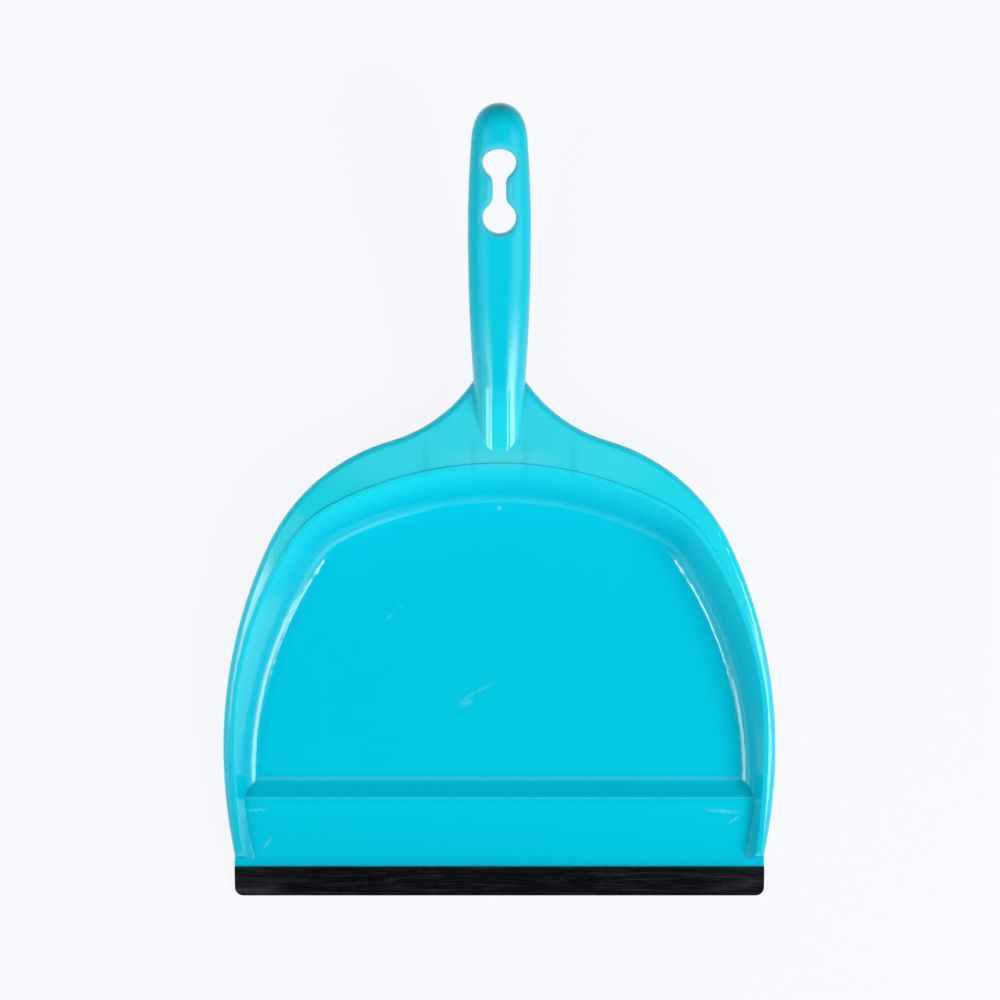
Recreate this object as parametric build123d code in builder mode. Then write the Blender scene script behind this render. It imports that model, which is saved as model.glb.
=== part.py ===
from build123d import *
import os
from math import acos, asin, atan2, cos, degrees, radians, sin, sqrt, tan

# Household dustpan with a rubber lip.  Millimetres.
# +X across the pan, +Y towards the handle, +Z up, the pan stands on Z = 0.
# Distances "from the lip" run back from the front edge of the rubber.

# ---------------------------------------------------------------- driving sizes
overall_length = 323.7        # front edge of the lip to the tip of the handle
wall = 2.0                    # wall of the whole moulding

# bowl: floor corner line
floor_back = 164.6            # floor corner behind the centre, from the lip
floor_back_radius = 146.0
floor_corner_radius = 21.0
floor_side_radius = 162.0
back_turn = 27.7              # degrees of the back arc on each side
corner_turn = 27.7            # degrees of the corner arc
cheek_radius = 420.0          # side wall ahead of the widest place
floor_fillet = 8.0            # inside radius between floor and wall
floor_chamfer_share = 0.4     # chamfer under it, as a share of the outside radius

# crease round the top of the bowl, drawn with the same turns
back_lean = 13.0              # crease behind the floor corner at the centre
side_lean = 4.9               # crease outside the floor corner at the widest place
crease_back_growth = -1.0     # radius of the crease's back arc over the floor's
crease_corner_growth = 23.7   # the same for the corner arc

# rim plane: the crease lies in one plane that climbs to the back
rim_front = 15.8              # front end of the rim, from the lip
rim_front_height = 9.5
rim_tilt = 6.84

# flange round the bowl, its outer edge and its skirt
flange_side = 5.0             # flange outside the crease at the widest place
deck_fall = 14.0              # degrees, flange falling away from the crease
rim_side_radius = 200.0
rim_side_turn = 25.3
rim_shoulder_radius = 80.2
rim_neck_radius = 61.0        # hollow curve running into the handle
rim_neck_angle = 32.0         # degrees between its end and the handle
rim_neck_half_width = 9.6     # its end, inside the handle's foot
rim_neck_overlap = 2.4        # its end, behind the root of the handle
rim_cheek_radius = 217.5
rim_edge_radius = 3.0         # rolled outer edge
skirt_front = 5.2             # rim plane to parting plane at the front end
skirt_back = 14.0             # the same at the root of the handle

# handle: hollow channel open below, drawn from its tip towards the root
deck_length = 35.1            # crease to the root of the handle
handle_tilt = 14.0
handle_height = 13.7
handle_edge_radius = 8.6      # rounded top edges
tip_crown = 1.6               # radius left at the tip inside the rounded edge
tip_turn = 63.3
nose_radius = 20.0
grip_radius = 475.0           # flank ahead of the rounded end, up to the widest place
grip_turn = 4.7
root_half_width = 10.5        # the flank draws in again to this at the root
foot_rise = 3.0               # crest between root and deck climbs this much over the rim plane

# hanging hole: two lobes and a narrow neck
hole_radius = 6.7             # round lobe
hole_from_tip = 44.7          # centre of the round lobe, from the tip
hole_spacing = 22.3           # round lobe to upper lobe
hole_crown_radius = 8.6       # flattened top of the upper lobe
hole_crown_turn = 30.0
hole_neck_width = 5.3
hole_neck_fillet = 5.0
hole_edge_chamfer = 0.6
collar_wall = 1.8
collar_depth = 6.0

# dirt step and ramp
step_foot = 48.3              # back of the step, from the lip
step_run = 7.5                # step seen from above, foot to crest
step_height = 5.0
step_foot_radius = 8.0
step_crest_radius = 5.0
ramp_end_height = 3.3         # top of the floor at the lip
rim_end_upright = 0.6         # upright stretch of the rim's front end, under its rounding
rim_end_margin = 0.6
rim_end_wall = 4.0            # closed front end of the flange

# ribs under the deck
rib_thickness = 1.4
rib_inner = 10.6              # ribs carrying on the handle's sides
rib_outer = 30.0

# rubber lip
lip_length = 220.0
lip_depth = 12.3
lip_height = 4.6
lip_edge = 1.6                # thickness at the front edge
lip_nose_radius = 0.7
lip_corner_radius = 3.5       # front corners seen from above
slot_depth = 5.5
slot_clearance = 0.06
tongue_thickness = 1.4
tongue_inset = 1.2            # tongue shorter than the lip at each end

# ---------------------------------------------------------------- derived places
lip_front = -overall_length / 2
tip = overall_length / 2
side_turn = 90.0 - back_turn - corner_turn
beyond = 30.0                 # how far cutting forms run past the part


def sin_of(angle):
    return sin(radians(angle))


def cos_of(angle):
    return cos(radians(angle))


def from_lip(distance):
    return lip_front + distance


def tilted_plane(y, z, angle):
    """Plane across the part that climbs to the back by angle degrees."""
    return Plane(origin=(0, y, z), x_dir=(1, 0, 0),
                 z_dir=(0, -sin(radians(angle)), cos(radians(angle))))


rim_y = from_lip(rim_front)
floor_back_y = from_lip(floor_back)
crease_back_y = floor_back_y + back_lean
root_y = crease_back_y + deck_length
rim_plane = tilted_plane(rim_y, rim_front_height, rim_tilt)


def rim_height(y):
    return rim_front_height + (y - rim_y) * tan(radians(rim_tilt))


root_bottom = rim_height(root_y) - skirt_back
parting_tilt = degrees(atan2(root_bottom - (rim_front_height - skirt_front), root_y - rim_y))
parting_plane = tilted_plane(root_y, root_bottom, parting_tilt)
handle_plane = tilted_plane(root_y, root_bottom, handle_tilt)
handle_length = (tip - root_y) / cos(radians(handle_tilt))


# half widths at the widest place, and the crease arc that leads there
crease_back_radius = floor_back_radius + crease_back_growth
crease_corner_radius = floor_corner_radius + crease_corner_growth
arcs_turn = back_turn + corner_turn
floor_half_width = (floor_back_radius * sin_of(back_turn)
                    + floor_corner_radius * (sin_of(arcs_turn) - sin_of(back_turn))
                    + floor_side_radius * (1 - sin_of(arcs_turn)))
crease_half_width = floor_half_width + side_lean
crease_side_radius = (crease_half_width - crease_back_radius * sin_of(back_turn)
                      - crease_corner_radius * (sin_of(arcs_turn) - sin_of(back_turn))
                      ) / (1 - sin_of(arcs_turn))

# shoulder turn that brings the rim's outline from its widest place into the handle
rim_half_width = crease_half_width + flange_side
rim_shoulder_turn = degrees(acos(
    (rim_neck_half_width - rim_half_width + rim_side_radius * (1 - cos_of(rim_side_turn))
     + rim_shoulder_radius * cos_of(rim_side_turn) + rim_neck_radius * cos_of(rim_neck_angle))
    / (rim_shoulder_radius + rim_neck_radius))) - rim_side_turn
rim_neck_turn = rim_side_turn + rim_shoulder_turn - rim_neck_angle
rim_widest_y = (root_y + rim_neck_overlap - rim_side_radius * sin_of(rim_side_turn)
                - rim_shoulder_radius * (sin_of(rim_side_turn + rim_shoulder_turn) - sin_of(rim_side_turn))
                - rim_neck_radius * (sin_of(rim_side_turn + rim_shoulder_turn) - sin_of(rim_neck_angle)))
rim_front_y = rim_y - rim_edge_radius
rim_cheek_turn = degrees(asin((rim_widest_y - rim_front_y) / rim_cheek_radius))


# ---------------------------------------------------------------- outlines
def bowl_face(back, radii, grow, front):
    """Closed outline of the bowl: arcs on common centres, open end squared off."""
    with BuildSketch(Plane.XY) as outline:
        with BuildLine():
            back_arc = JernArc((0, back + grow), (1, 0), radii[0] + grow, -back_turn)
            corner = JernArc(back_arc @ 1, back_arc % 1, radii[1] + grow, -corner_turn)
            side = JernArc(corner @ 1, corner % 1, radii[2] + grow, -side_turn)
            cheek_turn = degrees(asin(((side @ 1).Y - front) / (cheek_radius + grow)))
            cheek = JernArc(side @ 1, side % 1, cheek_radius + grow, -cheek_turn)
            Line(cheek @ 1, (0, front))
            mirror(about=Plane.YZ)
        make_face()
    return outline.sketch


def rim_face(inset):
    """Outer edge of the flange, from the front corner to inside the handle."""
    widest = (rim_half_width - inset, rim_widest_y)
    with BuildSketch(Plane.XY) as outline:
        with BuildLine():
            side = JernArc(widest, (0, 1), rim_side_radius - inset, rim_side_turn)
            shoulder = JernArc(side @ 1, side % 1, rim_shoulder_radius - inset, rim_shoulder_turn)
            neck = JernArc(shoulder @ 1, shoulder % 1, rim_neck_radius + inset, -rim_neck_turn)
            Line(neck @ 1, (0, (neck @ 1).Y))
            cheek = JernArc(widest, (0, -1), rim_cheek_radius - inset, -rim_cheek_turn)
            Line(cheek @ 1, (0, (cheek @ 1).Y))
            mirror(about=Plane.YZ)
        make_face()
    return outline.sketch


def handle_face(inset):
    """Outline of the handle in its own plane, from the root line to the tip."""
    tip_radius = handle_edge_radius + tip_crown
    with BuildSketch(Plane.XY) as outline:
        with BuildLine():
            end = JernArc((0, handle_length - inset), (1, 0), tip_radius - inset, -tip_turn)
            nose = JernArc(end @ 1, end % 1, nose_radius - inset, tip_turn + grip_turn - 90)
            grip = JernArc(nose @ 1, nose % 1, grip_radius - inset, -grip_turn)
            draw_in = (grip @ 1).X - (root_half_width - inset)
            waist_radius = ((grip @ 1).Y ** 2 + draw_in ** 2) / (2 * draw_in)
            waist_turn = degrees(asin((grip @ 1).Y / waist_radius))
            waist = JernArc(grip @ 1, grip % 1, waist_radius, -waist_turn)
            Line(waist @ 1, (0, 0))
            mirror(about=Plane.YZ)
        make_face()
    return outline.sketch


crease_radii = (crease_back_radius, crease_corner_radius, crease_side_radius)
floor_radii = (floor_back_radius, floor_corner_radius, floor_side_radius)
crease_v = (crease_back_y - rim_y) / cos_of(rim_tilt)     # along the rim plane
form_front = rim_y - beyond


# ---------------------------------------------------------------- forms
def bowl_form(bottom, grow):
    """Solid that fills the bowl: drafted between floor corner line and crease."""
    with BuildPart() as form:
        with BuildSketch(Plane.XY.offset(bottom)):
            add(bowl_face(floor_back_y, floor_radii, grow, form_front))
        with BuildSketch(rim_plane):
            add(bowl_face(crease_v, crease_radii, grow, -beyond))
        loft(ruled=True)
        base = form.faces().sort_by(Axis.Z)[0].edges()
        corner = base.filter_by(lambda edge: (edge @ 0.5).Y > form_front + 1)
        if grow == 0:
            fillet(corner, floor_fillet)
        else:
            chamfer(corner, floor_chamfer_share * (floor_fillet + grow))
    return form.part


def mound(drop):
    """Upper face of the flange as a solid: it falls away from the crease all round."""
    reach = rim_half_width / 2
    fall = reach * tan(radians(deck_fall))
    with BuildPart() as form:
        with BuildSketch(rim_plane.offset(-drop)):
            add(bowl_face(crease_v, crease_radii, 0.0, -beyond))
        with BuildSketch(rim_plane.offset(-drop - fall)):
            add(bowl_face(crease_v, crease_radii, reach, -beyond))
        loft(ruled=True)
    return form.part


def flange_form(inset):
    """Flange above the parting plane; inset gives the hollow beneath it."""
    with BuildPart() as form:
        with BuildSketch(Plane.XY.offset(-beyond)):
            add(rim_face(inset))
        extrude(amount=3 * beyond)
        add(mound(inset / cos(radians(deck_fall))), mode=Mode.INTERSECT)
        if inset > 0:
            split(bisect_by=Plane.XZ.offset(-rim_y - rim_end_wall), keep=Keep.BOTTOM)
        else:
            split(bisect_by=parting_plane, keep=Keep.TOP)
            uprights = form.faces().filter_by(lambda face: abs(face.normal_at().Z) < 0.01)
            slopes = form.faces().filter_by(lambda face: 0.9 < face.normal_at().Z < 0.998)
            rolled = ShapeList(e for e in uprights.edges() if e in slopes.edges())
            fillet(rolled.filter_by(lambda edge: (edge @ 0.5).Y < root_y), rim_edge_radius)
    return form.part


def handle_form(inset):
    """Handle and the foot that runs into the deck; inset gives the hollow."""
    below = 0.0 if inset == 0 else 2 * inset
    along = Axis(handle_plane.origin, handle_plane.y_dir)
    crest_tilt = radians(rim_tilt + foot_rise)
    forward = Vector(0, -cos(crest_tilt), -sin(crest_tilt))
    foot_length = (root_y - crease_back_y - wall / 2) / cos(crest_tilt)
    with BuildPart() as form:
        with BuildSketch(handle_plane.offset(-below)):
            add(handle_face(inset))
        extrude(amount=handle_height - inset + below)
        root = form.faces().sort_by(along)[0]
        extrude(root, amount=foot_length, dir=forward)
        tops = form.faces().filter_by(lambda face: face.normal_at().Z > 0.9)
        sides = form.faces().filter_by(lambda face: abs(face.normal_at().Z) < 0.3)
        rounded = ShapeList(edge for edge in tops.edges() if edge in sides.edges())
        rounded = rounded.sort_by(along)[1:]
        if inset == 0:
            fillet(rounded, handle_edge_radius)
            split(bisect_by=parting_plane, keep=Keep.TOP)
        else:
            chamfer(rounded, (2 - sqrt(2)) * (handle_edge_radius - inset))
    return form.part


def hole_face(grow):
    """Hanging hole: round lobe, neck, flattened lobe; in the handle's plane."""
    hole_v = handle_length - hole_from_tip
    crown_reach = sin(radians(hole_crown_turn))
    corner_radius = (hole_radius - hole_crown_radius * crown_reach) / (1 - crown_reach)
    with BuildSketch(Plane.XY) as outline:
        with Locations((0, hole_v)):
            Circle(hole_radius)
        with BuildLine():
            bottom = JernArc((0, hole_v + hole_spacing - hole_radius), (1, 0), hole_radius, 90)
            corner = JernArc(bottom @ 1, bottom % 1, corner_radius, 90 - hole_crown_turn)
            JernArc(corner @ 1, corner % 1, hole_crown_radius, hole_crown_turn)
            mirror(about=Plane.YZ)
        make_face()
        with Locations((0, hole_v + hole_spacing / 2)):
            Rectangle(hole_neck_width, hole_spacing)
        necks = outline.vertices().filter_by(lambda v: abs(abs(v.X) - hole_neck_width / 2) < 0.01)
        fillet(necks, hole_neck_fillet)
        if grow > 0:
            offset(amount=grow)
    return outline.sketch


def ridge_face(drop):
    """Side view of the dirt step and the ramp, filled down below the floor."""
    foot = from_lip(step_foot)
    back = foot + step_run
    front = from_lip(lip_depth) - beyond
    with BuildSketch(Plane.XY) as outline:
        with BuildLine():
            Polyline((back, wall), (foot, wall), (foot - step_run, wall + step_height),
                     (rim_y, ramp_end_height),
                     (front, ramp_end_height), (front, -beyond), (back, -beyond), close=True)
        make_face()
        if drop > 0:
            offset(amount=-drop, kind=Kind.INTERSECTION, mode=Mode.REPLACE)
        crest = outline.vertices().sort_by(Axis.Y)[-1]
        fillet(crest, step_crest_radius - drop)
        if drop == 0:
            fillet(outline.vertices().sort_by_distance((foot, wall))[0], step_foot_radius)
    return outline.sketch


def rim_end_face():
    """Side view of what is cut away ahead of the rounded front end of the rim."""
    far = rim_y + 3 * beyond
    margin = rim_end_margin
    with BuildSketch(Plane.XY) as outline:
        with BuildLine():
            Polyline((rim_y, ramp_end_height), (rim_y, rim_height(rim_y) + margin),
                     (far, rim_height(far) + margin), (far, 3 * beyond),
                     (rim_y - beyond, 3 * beyond), (rim_y - beyond, ramp_end_height), close=True)
        make_face()
        corner = outline.vertices().sort_by_distance((rim_y, rim_height(rim_y) + margin))[0]
        rounding = rim_height(rim_y) + margin - ramp_end_height - rim_end_upright
        fillet(corner, rounding / tan(radians((90 - rim_tilt) / 2)))
    return outline.sketch


# ---------------------------------------------------------------- pan
cavity = bowl_form(wall, 0.0)
bowl = bowl_form(0.0, wall)
flange = flange_form(0.0)
flange_hollow = flange_form(wall)
handle = handle_form(0.0)
handle_hollow = handle_form(wall)

with BuildPart() as ribs:
    for x in (-rib_outer, -rib_inner, rib_inner, rib_outer):
        with BuildSketch(Plane.XY):
            with Locations((x, (root_y + crease_back_y) / 2)):
                Rectangle(rib_thickness, deck_length - wall)
    extrude(amount=3 * beyond)
    add(flange, mode=Mode.INTERSECT)

lip_back = from_lip(lip_depth)
tongue_middle = ramp_end_height - wall / 2

full_width = 3 * rim_half_width
across = Plane.YZ.offset(-full_width / 2)

with BuildPart() as ridge:
    with BuildSketch(across):
        add(ridge_face(0.0))
    extrude(amount=full_width)
    add(bowl, mode=Mode.INTERSECT)

with BuildPart() as pan:
    add(flange)
    add(handle)
    add(flange_hollow, mode=Mode.SUBTRACT)
    add(handle_hollow, mode=Mode.SUBTRACT)
    add(ribs.part)
    add(bowl)
    add(cavity, mode=Mode.SUBTRACT)
    add(ridge.part)
    with BuildSketch(Plane.YZ.offset(wall - floor_half_width)):
        add(ridge_face(wall))
    extrude(amount=2 * (floor_half_width - wall), mode=Mode.SUBTRACT)
    with BuildSketch(across):
        add(rim_end_face())
    extrude(amount=full_width, mode=Mode.SUBTRACT)
    with BuildSketch(across):
        with Locations((lip_back, 0)):
            Rectangle(2 * beyond, 2 * beyond, align=(Align.MAX, Align.CENTER))
    extrude(amount=full_width, mode=Mode.SUBTRACT)

    # strip along the front edge, and the tongue inside the rubber
    with BuildSketch(Plane.XY.offset(ramp_end_height - wall)):
        with Locations((0, lip_back)):
            Rectangle(lip_length, rim_y - lip_back + wall, align=(Align.CENTER, Align.MIN))
    extrude(amount=wall)
    with BuildSketch(Plane.XY.offset(tongue_middle - tongue_thickness / 2)):
        with Locations((0, lip_back + wall)):
            Rectangle(lip_length - 2 * tongue_inset, slot_depth - slot_clearance + wall,
                      align=(Align.CENTER, Align.MAX))
    extrude(amount=tongue_thickness)

    # hanging hole with a collar inside the handle
    with BuildSketch(handle_plane.offset(handle_height - collar_depth)):
        add(hole_face(collar_wall))
    extrude(amount=collar_depth - wall / 2)
    with BuildSketch(handle_plane):
        add(hole_face(0.0))
    extrude(amount=2 * handle_height, mode=Mode.SUBTRACT)
    mouth = pan.edges(Select.NEW).filter_by(
        lambda edge: handle_plane.to_local_coords(edge @ 0.5).Z > handle_height - wall)
    chamfer(mouth, hole_edge_chamfer)
pan.part.label = "pan"

# ---------------------------------------------------------------- rubber lip
lip_drop = lip_height - lip_edge
lip_top_radius = (lip_depth ** 2 + lip_drop ** 2) / (2 * lip_drop)
lip_top_turn = degrees(asin(lip_depth / lip_top_radius))

with BuildPart() as rubber_lip:
    with BuildSketch(Plane.YZ.offset(-lip_length / 2)):
        with BuildLine():
            top = JernArc((lip_back, lip_height), (-1, 0), lip_top_radius, lip_top_turn)
            Polyline(top @ 1, (lip_front, 0), (lip_back, 0), (lip_back, lip_height))
        make_face()
        with Locations((lip_back, tongue_middle)):
            Rectangle(slot_depth, tongue_thickness + 2 * slot_clearance,
                      align=(Align.MAX, Align.CENTER), mode=Mode.SUBTRACT)
    extrude(amount=lip_length)
    front = rubber_lip.faces().sort_by(Axis.Y)[0]
    fillet(front.edges().filter_by(Axis.Z), lip_corner_radius)
    nose = rubber_lip.edges().filter_by(lambda edge: (edge @ 0.5).Y < lip_front + lip_corner_radius)
    fillet(nose.filter_by(lambda edge: abs((edge % 0.5).Z) < 0.1), lip_nose_radius)
rubber_lip.part.label = "rubber_lip"

# ---------------------------------------------------------------- files
os.makedirs("parts", exist_ok=True)
export_step(pan.part, "parts/pan.step")
export_step(rubber_lip.part, "parts/rubber_lip.step")
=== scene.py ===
import math

import bpy
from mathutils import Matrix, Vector

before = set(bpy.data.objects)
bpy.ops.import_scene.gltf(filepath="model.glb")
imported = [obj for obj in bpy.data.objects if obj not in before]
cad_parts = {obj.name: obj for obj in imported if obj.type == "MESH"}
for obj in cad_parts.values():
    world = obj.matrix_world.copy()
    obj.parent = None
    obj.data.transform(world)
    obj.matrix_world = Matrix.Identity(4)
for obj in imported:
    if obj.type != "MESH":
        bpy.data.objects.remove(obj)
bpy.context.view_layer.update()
scene = bpy.context.scene

# ------------------------------------------------------------------ picture settings
scene.view_settings.view_transform = "Standard"

# ------------------------------------------------------------------ camera
CAMERA_HEIGHT = 1.200              # straight above the pan
CAMERA_X, CAMERA_Y = 0.00023, 0.00275
FIELD = 0.4166                     # width of the frame on the floor
camera_data = bpy.data.cameras.new("camera")
camera_data.sensor_width = 36.0
camera_data.lens = camera_data.sensor_width * CAMERA_HEIGHT / FIELD
camera = bpy.data.objects.new("camera", camera_data)
camera.location = (CAMERA_X, CAMERA_Y, CAMERA_HEIGHT)
scene.collection.objects.link(camera)
scene.camera = camera

# places on the pan that the materials follow, in metres
RIM_FRONT_Y, RIM_FRONT_Z = -0.14605, 0.0095    # front end of the plane that the crease lies in
RIM_SLOPE = math.tan(math.radians(6.84))
RIB_LINES = (-0.030, -0.0106, 0.0106, 0.030)
WALL_RISE = (0.005, 0.028)         # heights between the bowl's floor and its rim, over which the painted light fades in
DECK_TO_HANDLE = (0.036, 0.056)    # y where the deck turns into the handle
GRIP_START = 0.052                 # y where the handle starts to lose its gloss
FRONT_SHADE_SPAN = (-0.150, -0.112)     # y over which the ramp's painted shade fades out


# ------------------------------------------------------------------ node helpers
class Nodes:
    """Short way to build a node tree."""

    def __init__(self, tree):
        self.tree = tree
        tree.nodes.clear()

    def put(self, value, socket):
        """Link an output to a socket, or write a plain value on it."""
        if isinstance(value, bpy.types.NodeSocket):
            self.tree.links.new(value, socket)
        else:
            socket.default_value = value

    def add(self, kind, inputs=(), **settings):
        node = self.tree.nodes.new(kind)
        for key, value in settings.items():
            setattr(node, key, value)
        for socket, value in dict(inputs).items():
            self.put(value, node.inputs[socket])
        return node

    def math(self, operation, a, b=0.0, c=0.0, clamp=False):
        node = self.add("ShaderNodeMath", {0: a, 1: b, 2: c}, operation=operation)
        node.use_clamp = clamp
        return node.outputs[0]

    def total(self, values):
        result = values[0]
        for value in values[1:]:
            result = self.math("ADD", result, value)
        return result

    def fade(self, value, low, high, at_low=0.0, at_high=1.0):
        """Smooth step from one value to another."""
        node = self.add("ShaderNodeMapRange",
                        {"Value": value, "From Min": low, "From Max": high,
                         "To Min": at_low, "To Max": at_high},
                        interpolation_type="SMOOTHSTEP")
        return node.outputs["Result"]

    def mix(self, share, a, b):
        node = self.add("ShaderNodeMix", data_type="RGBA")
        for socket, value in ((node.inputs[0], share), (node.inputs[6], a), (node.inputs[7], b)):
            self.put(value, socket)
        return node.outputs[2]

    def noise(self, place, scale, detail=2.0, roughness=0.5, stretch=(1.0, 1.0, 1.0)):
        """Noise centred on 0, from about -0.5 to 0.5; scale counts blobs per metre."""
        spread = self.add("ShaderNodeVectorMath", {0: place, 1: stretch}, operation="MULTIPLY")
        cloud = self.add("ShaderNodeTexNoise",
                         {"Vector": spread.outputs[0], "Scale": scale, "Detail": detail,
                          "Roughness": roughness})
        return self.math("SUBTRACT", cloud.outputs["Fac"], 0.5)

    def spot(self, place, centre, reach, turn=0.0, core=0.0):
        """1 inside a soft-edged ellipsoid, 0 outside it; turn is in degrees about Z."""
        local = self.add("ShaderNodeMapping",
                         {"Vector": place, "Location": centre, "Scale": reach,
                          "Rotation": (0.0, 0.0, math.radians(turn))}, vector_type="TEXTURE")
        far = self.add("ShaderNodeVectorMath", {0: local.outputs[0]}, operation="LENGTH")
        return self.fade(far.outputs["Value"], core, 1.0, 1.0, 0.0)


def new_material(name):
    material = bpy.data.materials.new(name)
    material.use_nodes = True
    return material, Nodes(material.node_tree)


def object_place(n):
    """Position on the object in metres: every node object sits at the origin."""
    return n.add("ShaderNodeTexCoord").outputs["Object"]


# ------------------------------------------------------------------ pan plastic
DEEP_COLOUR = (0.0, 0.585, 0.765, 1.0)       # where the pan lies on the floor
PAINTED_GLOW_COLOUR = (0.014, 0.740, 0.890, 1.0)   # painted light: walls, rim and deck coloured lighter, as if daylight shone through the thin plastic, with a painted sheen
MARK_AND_SHADE_COLOUR = (0.0, 0.40, 0.56, 1.0)         # sink marks, random tone, and painted shade at the crease and the ramp's front
WORN_AND_HIGHLIGHT_COLOUR = (0.22, 0.74, 0.84, 1.0)        # scuffs, scratches, the gate mark, and painted highlight and reflection

# centre, reach, turn in degrees, strength
SCUFFS = (
    ((0.0925, -0.1262, 0.005), (0.0110, 0.0011, 0.01), -4.0, 0.50),
    ((0.0970, -0.1300, 0.005), (0.0040, 0.0008, 0.01), 35.0, 0.60),
    ((-0.1010, -0.1258, 0.005), (0.0070, 0.0009, 0.01), 3.0, 0.50),
    ((-0.0965, -0.1400, 0.005), (0.0050, 0.0012, 0.01), 60.0, 0.45),
    ((-0.0085, -0.0765, 0.003), (0.0120, 0.0010, 0.01), 28.0, 0.30),
    ((-0.0140, -0.0815, 0.003), (0.0045, 0.0024, 0.01), 20.0, 0.35),
    ((-0.0450, -0.0450, 0.003), (0.0050, 0.0009, 0.01), 50.0, 0.25),
    ((-0.0410, -0.0415, 0.003), (0.0016, 0.0007, 0.01), 10.0, 0.35),
)
SINK_REACH = (0.0026, 0.013, 0.012)
DECK_REFLECTION_PATCH = ((0.0, 0.0195, 0.028), (0.030, 0.0055, 0.012))      # painted reflection: paler band on the deck before the handle's foot
CREASE_SHADE_REACH = (0.00004, 0.00030)                            # distances from the crease over which the painted shade line fades
GATE_MARK = ((0.0, -0.0006, 0.002), (0.0011, 0.0011, 0.004))
RING_CENTRE, RING_RADIUS = (0.0, 0.1010, 0.042), 0.0030
# painted highlight on the rounded edge of the hanging hole
HOLE_EDGE_HIGHLIGHT = (((0.0, 0.1159, 0.046), (0.0096, 0.0096, 0.02)),
              ((0.0, 0.1268, 0.049), (0.0058, 0.0110, 0.02)),
              ((0.0, 0.1370, 0.051), (0.0098, 0.0088, 0.02)))

# how strongly each mark, painted shade and painted highlight tints the colour
FRONT_SHADE_TINT, SINK_TINT, DECK_REFLECTION_TINT, CREASE_SHADE_TINT = 0.30, 0.26, 0.16, 0.10
GATE_TINT, RING_TINT, HOLE_HIGHLIGHT_TINT = 0.5, 0.12, 0.30

# roughness, and what patches, the grip and worn places add to it
GLOSSY, PATCHES_ADD, GRIP_ADD, WORN_ADD = 0.085, 0.05, 0.14, 0.45
SPECULAR, HANDLE_SPECULAR = 0.5, 0.10          # the handle mirrors less; the export drops this

# heights of the surface detail and radii of the rounded shading, in metres
GRAIN_HEIGHT, WAVE_HEIGHT, DENT_DEPTH, WORN_DEPTH = 0.000004, 0.00004, 0.00006, 0.00002
EDGE_ROUNDING, HANDLE_CROWN = 0.0004, 0.0038


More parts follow.
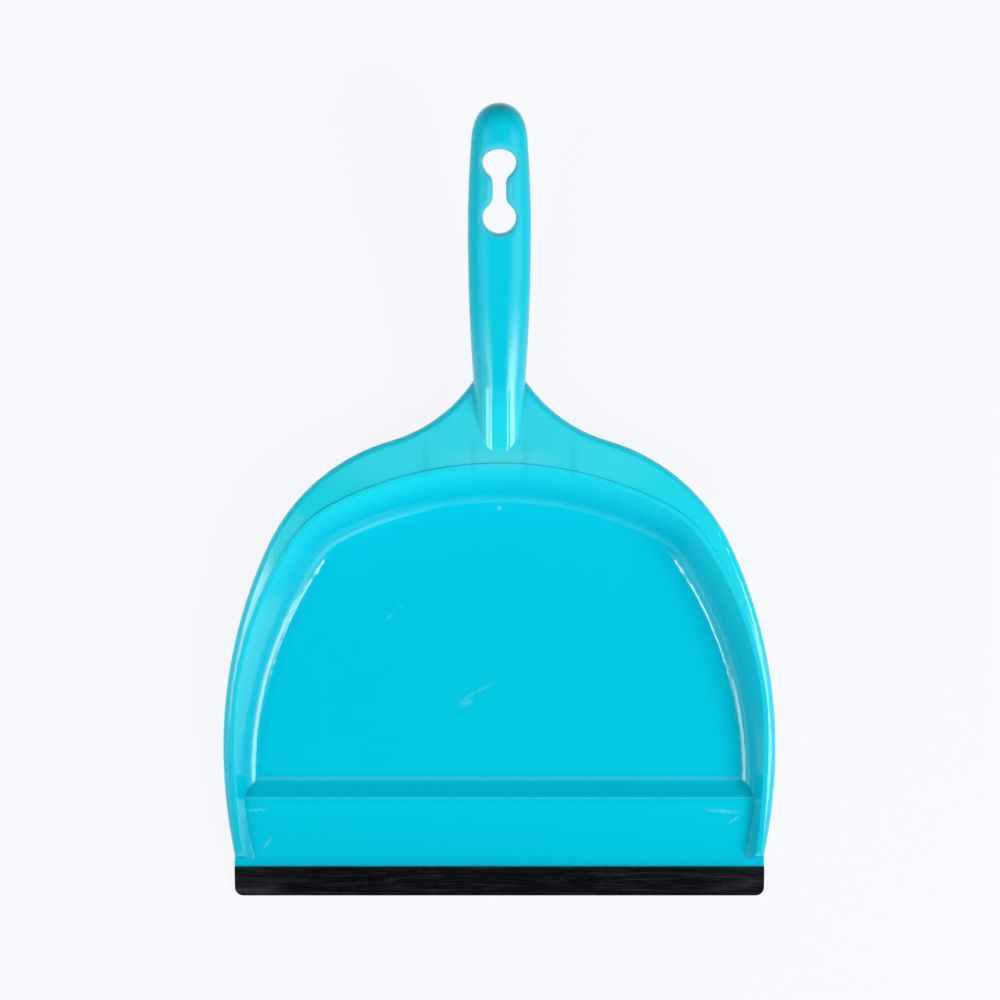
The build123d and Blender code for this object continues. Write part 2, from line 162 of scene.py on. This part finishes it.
def plastic():
    """Glossy turquoise polypropylene, with the marks that moulding and use leave, and with painted
    light: a lighter tint on walls and deck, painted shade at the crease and the ramp's front, and
    painted highlights.
    """
    material, n = new_material("pan_plastic")
    place = object_place(n)
    axis = n.add("ShaderNodeSeparateXYZ", {0: place}).outputs

    clouds = n.noise(place, 22.0, 3.0)
    patches = n.noise(place, 70.0, 2.0)
    # painted light: the colour grows lighter above the bowl's floor and fades out on the handle
    painted_glow = n.math("MULTIPLY", n.fade(axis["Z"], *WALL_RISE),
                    n.fade(axis["Y"], *DECK_TO_HANDLE, 1.0, 0.15))
    colour = n.mix(painted_glow, DEEP_COLOUR, PAINTED_GLOW_COLOUR)
    colour = n.mix(n.math("MULTIPLY_ADD", clouds, 0.16, 0.06, clamp=True), colour, MARK_AND_SHADE_COLOUR)

    # painted shade: the ramp grows darker towards the rubber lip
    front_shade = n.fade(axis["Y"], *FRONT_SHADE_SPAN, FRONT_SHADE_TINT, 0.0)
    colour = n.mix(front_shade, colour, MARK_AND_SHADE_COLOUR)

    # sink marks over the ribs, and a painted reflection: a paler band in front of the handle's
    # foot
    sinks = n.total([n.spot(place, (x, 0.0215 - 0.1 * abs(x), 0.027), SINK_REACH)
                     for x in RIB_LINES])
    colour = n.mix(n.math("MULTIPLY", sinks, SINK_TINT, clamp=True), colour, MARK_AND_SHADE_COLOUR)
    deck_reflection = n.spot(place, *DECK_REFLECTION_PATCH, core=0.4)
    colour = n.mix(n.math("MULTIPLY", deck_reflection, DECK_REFLECTION_TINT), colour, WORN_AND_HIGHLIGHT_COLOUR)

    # painted shade: thin dark line along the crease of the bowl
    along = n.math("SUBTRACT", axis["Y"], RIM_FRONT_Y)
    crease = n.math("SUBTRACT", axis["Z"], n.math("MULTIPLY_ADD", along, RIM_SLOPE, RIM_FRONT_Z))
    crease_shade = n.fade(n.math("ABSOLUTE", crease), *CREASE_SHADE_REACH, 1.0, 0.0)
    colour = n.mix(n.math("MULTIPLY", crease_shade, CREASE_SHADE_TINT), colour, MARK_AND_SHADE_COLOUR)

    # scuffs and scratches, broken up by fine noise; gate mark; ring under the hanging hole;
    # painted highlight round the hanging hole's edge
    grit = n.fade(n.noise(place, 1100.0, 2.0), -0.16, 0.16)
    worn = n.total([n.math("MULTIPLY", n.spot(place, centre, reach, turn), strength)
                    for centre, reach, turn, strength in SCUFFS])
    worn = n.math("MULTIPLY", worn, grit, clamp=True)
    gate = n.spot(place, *GATE_MARK, core=0.5)
    ring = n.math("SUBTRACT",
                  n.spot(place, RING_CENTRE, (RING_RADIUS * 1.15,) * 3, core=0.80),
                  n.spot(place, RING_CENTRE, (RING_RADIUS,) * 3, core=0.75), clamp=True)
    hole_highlight = n.total([n.spot(place, centre, reach, core=0.72) for centre, reach in HOLE_EDGE_HIGHLIGHT])
    wear_and_highlight = n.total([worn, n.math("MULTIPLY", gate, GATE_TINT), n.math("MULTIPLY", ring, RING_TINT),
                    n.math("MULTIPLY", n.math("MINIMUM", hole_highlight, 1.0), HOLE_HIGHLIGHT_TINT)])
    # scuffs, gate mark and ring are wear and moulding marks; the hole's rim is painted highlight
    colour = n.mix(n.math("MINIMUM", wear_and_highlight, 1.0), colour, WORN_AND_HIGHLIGHT_COLOUR)

    grip = n.fade(axis["Y"], GRIP_START, 0.075)
    rough = n.total([n.math("MULTIPLY_ADD", patches, PATCHES_ADD, GLOSSY),
                     n.math("MULTIPLY", grip, GRIP_ADD),
                     n.math("MULTIPLY", worn, WORN_ADD)])
    specular = n.fade(axis["Y"], GRIP_START, 0.085, SPECULAR, HANDLE_SPECULAR)

    # slight waviness of the moulding, fine grain, and dents of the marks
    grain = n.math("MULTIPLY", n.noise(place, 900.0, 3.0), GRAIN_HEIGHT)
    waves = n.math("MULTIPLY", n.noise(place, 38.0, 1.0), WAVE_HEIGHT)
    dents = n.math("MULTIPLY", n.total([sinks, ring]), -DENT_DEPTH)
    height = n.total([grain, waves, dents, n.math("MULTIPLY", worn, -WORN_DEPTH)])
    # edges are shaded slightly rounded, and the handle's top crowned
    round_over = n.fade(axis["Y"], *DECK_TO_HANDLE, EDGE_ROUNDING, HANDLE_CROWN)
    soft_edge = n.add("ShaderNodeBevel", {"Radius": round_over}, samples=6)
    bump = n.add("ShaderNodeBump", {"Height": height, "Strength": 1.0, "Distance": 1.0,
                                    "Normal": soft_edge.outputs[0]})

    shader = n.add("ShaderNodeBsdfPrincipled",
                   {"Base Color": colour, "Roughness": rough, "IOR": 1.49,
                    "Specular IOR Level": specular, "Normal": bump.outputs[0]})
    n.add("ShaderNodeOutputMaterial", {"Surface": shader.outputs["BSDF"]})
    return material


# ------------------------------------------------------------------ lip rubber
RUBBER_COLOUR = (0.0012, 0.0015, 0.0024, 1.0)
RUBBER_DUSTY = (0.024, 0.027, 0.032, 1.0)


def rubber():
    """Black rubber, drawn along its length, with dust worn into the ends."""
    material, n = new_material("lip_rubber")
    place = object_place(n)
    axis = n.add("ShaderNodeSeparateXYZ", {0: place}).outputs

    streaks = n.noise(place, 1000.0, 3.0, 0.6, stretch=(0.045, 1.0, 1.0))
    smears = n.noise(place, 260.0, 3.0, 0.6, stretch=(0.22, 1.0, 1.0))
    specks = n.fade(n.noise(place, 1500.0, 1.0, stretch=(0.5, 1.0, 1.0)), 0.20, 0.27)
    ends = n.fade(n.math("ABSOLUTE", axis["X"]), 0.075, 0.108)

    dust = n.total([n.fade(streaks, 0.00, 0.20, 0.0, 0.48),
                    n.fade(smears, 0.04, 0.26, 0.0, 0.30),
                    n.math("MULTIPLY", ends, n.fade(smears, -0.10, 0.22, 0.05, 0.60)),
                    n.math("MULTIPLY", specks, 0.5)])
    dust = n.math("MINIMUM", dust, 1.0)
    colour = n.mix(dust, RUBBER_COLOUR, RUBBER_DUSTY)
    rough = n.math("MULTIPLY_ADD", dust, 0.16, 0.42)
    height = n.total([n.math("MULTIPLY", streaks, 0.00005),
                      n.math("MULTIPLY", n.noise(place, 2200.0, 2.0), 0.00002)])
    bump = n.add("ShaderNodeBump", {"Height": height, "Strength": 1.0, "Distance": 1.0})

    shader = n.add("ShaderNodeBsdfPrincipled",
                   {"Base Color": colour, "Roughness": rough, "IOR": 1.50,
                    "Specular IOR Level": 0.06, "Normal": bump.outputs[0]})
    n.add("ShaderNodeOutputMaterial", {"Surface": shader.outputs["BSDF"]})
    return material


def dress(node, material):
    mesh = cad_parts[node].data
    mesh.materials.clear()
    mesh.materials.append(material)


dress("pan", plastic())
dress("rubber_lip", rubber())

# ------------------------------------------------------------------ floor
FLOOR_REACH = 6.0
FLOOR_GLOW_SHARE = 0.92                    # the rest of it is lit, and keeps the shadow
FLOOR_GLOW = (0.948, 0.957, 0.992, 1.0)    # also the backdrop's colour
FLOOR_LIT = (0.90, 0.91, 0.94, 1.0)


def seen_rays(n):
    """1 for camera, glossy and transmission rays."""
    path = n.add("ShaderNodeLightPath").outputs
    direct = n.math("MAXIMUM", path["Is Camera Ray"], path["Is Glossy Ray"])
    return n.math("MAXIMUM", direct, path["Is Transmission Ray"])


def floor_finish():
    material, n = new_material("floor")
    lit = n.add("ShaderNodeBsdfDiffuse", {"Color": FLOOR_LIT})
    glow = n.add("ShaderNodeEmission", {"Color": FLOOR_GLOW, "Strength": 1.0})
    share = n.math("MULTIPLY", seen_rays(n), FLOOR_GLOW_SHARE)
    blend = n.add("ShaderNodeMixShader", {0: share, 1: lit.outputs[0], 2: glow.outputs[0]})
    n.add("ShaderNodeOutputMaterial", {"Surface": blend.outputs[0]})
    return material


floor_mesh = bpy.data.meshes.new("floor")
floor_mesh.from_pydata([(-FLOOR_REACH, -FLOOR_REACH, 0), (FLOOR_REACH, -FLOOR_REACH, 0),
                        (FLOOR_REACH, FLOOR_REACH, 0), (-FLOOR_REACH, FLOOR_REACH, 0)],
                       [], [(0, 1, 2, 3)])
floor_mesh.materials.append(floor_finish())
floor = bpy.data.objects.new("floor", floor_mesh)
scene.collection.objects.link(floor)

# ------------------------------------------------------------------ light
LIGHT_DISTANCE = 1.35
AMBIENT = 0.03                     # grey of the room
HORIZON = (0.03, 0.12)             # heights on the sky over which the mirrored backdrop ends

# azimuth from +X, elevation, width and height in degrees, radiance
SOFTBOXES = {
    "right_key": (344.0, 43.0, 42.0, 22.0, 7.9),
    "right_spot": (318.0, 60.0, 10.0, 13.0, 11.0),
    "right_fill": (322.0, 28.0, 80.0, 28.0, 1.5),
    "left_key": (192.0, 49.0, 32.0, 18.0, 6.5),
    "left_spot": (221.0, 60.0, 10.0, 13.0, 11.0),
    "left_fill": (200.0, 50.0, 64.0, 36.0, 0.6),
    "left_low": (190.0, 22.0, 60.0, 18.0, 1.2),
    "front_low": (270.0, 18.0, 110.0, 24.0, 0.5),
    "rear_high": (90.0, 68.0, 110.0, 18.0, 0.6),
}


def softbox(name, azimuth, elevation, width, height, radiance):
    """Area light facing the pan; its sides are given as angles seen from the pan."""
    azimuth, elevation = math.radians(azimuth), math.radians(elevation)
    out = Vector((math.cos(elevation) * math.cos(azimuth),
                  math.cos(elevation) * math.sin(azimuth), math.sin(elevation)))
    data = bpy.data.lights.new(name, "AREA")
    data.shape = "RECTANGLE"
    data.size = 2 * LIGHT_DISTANCE * math.tan(math.radians(width / 2)) * math.cos(elevation)
    data.size_y = 2 * LIGHT_DISTANCE * math.tan(math.radians(height / 2))
    data.energy = math.pi * data.size * data.size_y * radiance
    light = bpy.data.objects.new(name, data)
    light.location = out * LIGHT_DISTANCE
    light.rotation_euler = (-out).to_track_quat("-Z", "Y").to_euler()
    scene.collection.objects.link(light)


def surroundings():
    """Dim room with a white backdrop, for the camera and, near the horizon, for gloss."""
    world = bpy.data.worlds.new("world")
    scene.world = world
    world.use_nodes = True
    n = Nodes(world.node_tree)
    path = n.add("ShaderNodeLightPath").outputs
    height = n.add("ShaderNodeSeparateXYZ", {0: n.add("ShaderNodeTexCoord").outputs["Generated"]})
    backdrop = n.fade(height.outputs["Z"], *HORIZON, 1.0, 0.0)
    mirrored = n.math("MAXIMUM", path["Is Glossy Ray"], path["Is Transmission Ray"])
    shown = n.math("MAXIMUM", path["Is Camera Ray"], n.math("MULTIPLY", mirrored, backdrop))
    room = (AMBIENT, AMBIENT, AMBIENT, 1.0)
    sky = n.add("ShaderNodeBackground", {"Color": n.mix(shown, room, FLOOR_GLOW)})
    n.add("ShaderNodeOutputWorld", {"Surface": sky.outputs[0]})


for name, (azimuth, elevation, width, height, radiance) in SOFTBOXES.items():
    softbox(name, azimuth, elevation, width, height, radiance)
surroundings()
